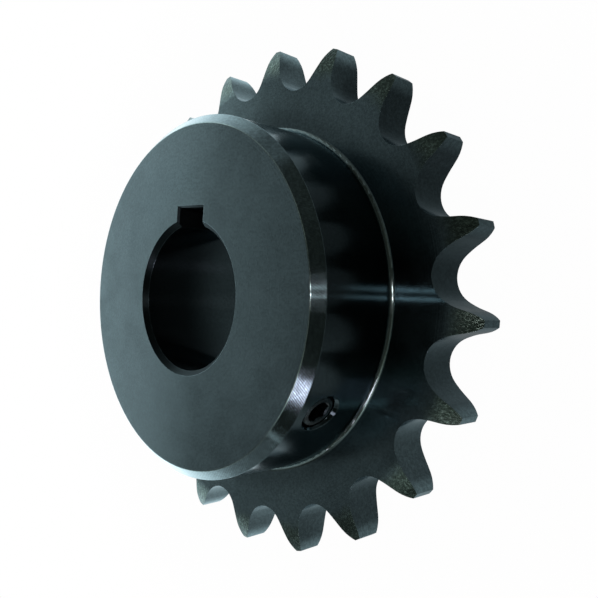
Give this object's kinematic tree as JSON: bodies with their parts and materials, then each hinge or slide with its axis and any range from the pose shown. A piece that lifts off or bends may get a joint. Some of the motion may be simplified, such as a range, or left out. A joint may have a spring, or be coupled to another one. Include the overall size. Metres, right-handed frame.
{
  "type": "chain sprocket",
  "caption": "Finished-bore roller-chain sprocket with a one-sided hub, a keyed bore and socket set screws in the hub.",
  "frame": {"origin": "centre of the bore on the back face of the toothed plate", "axes": "+Z along the bore axis towards the hub face, +Y towards the keyway"},
  "size_m": [0.1098, 0.1098, 0.028],
  "materials": {
    "black_oxide_steel": "black oxide over turned steel",
    "set_screw_steel": "black oxide"
  },
  "bodies": {
    "root": {"sprocket_body": "black_oxide_steel", "set_screw_key": "set_screw_steel", "set_screw_side": "set_screw_steel"}
  },
  "joints": []
}
